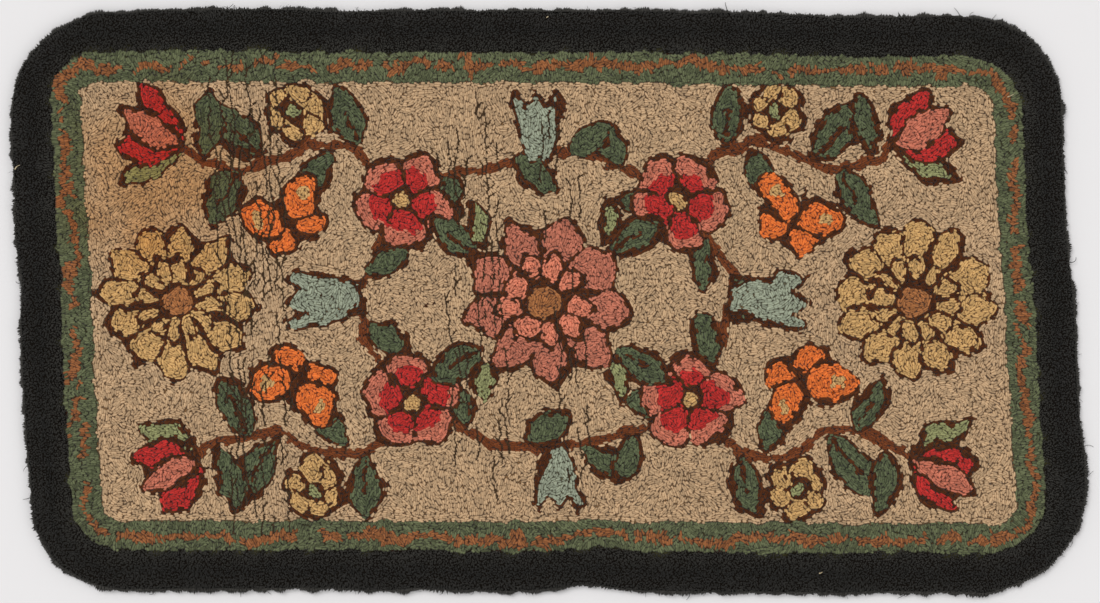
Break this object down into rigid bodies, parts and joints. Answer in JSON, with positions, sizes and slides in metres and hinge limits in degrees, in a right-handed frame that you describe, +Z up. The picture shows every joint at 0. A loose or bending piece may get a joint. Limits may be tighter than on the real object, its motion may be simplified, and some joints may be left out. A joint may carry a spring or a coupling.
{
  "type": "hooked rug",
  "caption": "Flat oblong hooked rug with rounded corners: a low loop field, a loop band round it and a raised, crowned border of cut pile.",
  "frame": {"origin": "middle of the rug's underside, halfway along and across its box, on the floor", "axes": "+X along the length, +Y across the width, +Z up out of the pile"},
  "size_m": [1.2424, 0.6788, 0.0143],
  "materials": {
    "wool_loops": "hooked wool yarn, matt"
  },
  "bodies": {
    "root": {"hooked_rug": "wool_loops"}
  },
  "joints": []
}
